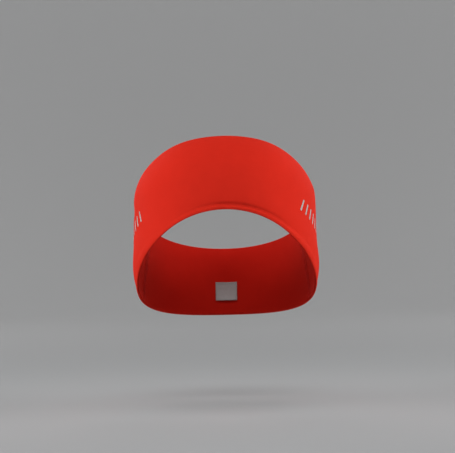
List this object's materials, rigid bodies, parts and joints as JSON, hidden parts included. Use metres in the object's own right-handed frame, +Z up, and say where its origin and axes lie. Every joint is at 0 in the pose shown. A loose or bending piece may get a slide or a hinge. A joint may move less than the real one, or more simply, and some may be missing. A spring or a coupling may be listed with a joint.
{
  "type": "stretch headband",
  "caption": "Wide stretch headband of doubled knit in its worn shape: deep over the forehead, sloping to the nape, with slanted side seams, reflective prints and a care label.",
  "frame": {"origin": "centre of the head opening, midway between forehead and nape", "axes": "+Z up towards the crown of an upright head, -Y towards the forehead, +X towards the wearer's left"},
  "size_m": [0.1598, 0.1959, 0.1579],
  "materials": {
    "shell_knit": "smooth matte stretch knit, bright red",
    "lining_knit": "matte stretch knit, the same red, slightly darker on its inner side",
    "seam_thread": "textured polyester sewing thread, red",
    "reflective_film": "thin retro-reflective transfer film, light grey",
    "label_satin": "grey satin ribbon, blank",
    "label_thread": "light grey sewing thread"
  },
  "bodies": {
    "front": {"outer_front_panel": "shell_knit", "lining_front_panel": "lining_knit", "bottom_edge_seam_front": "seam_thread", "top_edge_seam_front": "seam_thread", "left_lining_flatlock": "seam_thread", "right_lining_flatlock": "seam_thread", "left_reflective_print": "reflective_film", "right_reflective_print": "reflective_film"},
    "back": {"outer_back_panel": "shell_knit", "lining_back_panel": "lining_knit", "bottom_edge_seam_back": "seam_thread", "top_edge_seam_back": "seam_thread", "left_outer_flatlock": "seam_thread", "right_outer_flatlock": "seam_thread", "label_stitching": "label_thread"},
    "label": {"care_label": "label_satin"}
  },
  "joints": [
    {"name": "band_stretch", "type": "slide", "parent": "front", "child": "back", "axis": [0, 0.8862, -0.4633], "range_m": [0, 0.03], "stiffness_N_per_m": 150},
    {"name": "care_label_flap", "type": "hinge", "parent": "back", "child": "label", "pos_m": [0, 0.08095, -0.05364], "axis": [-1, 0, 0], "range_deg": [0, 150]}
  ]
}
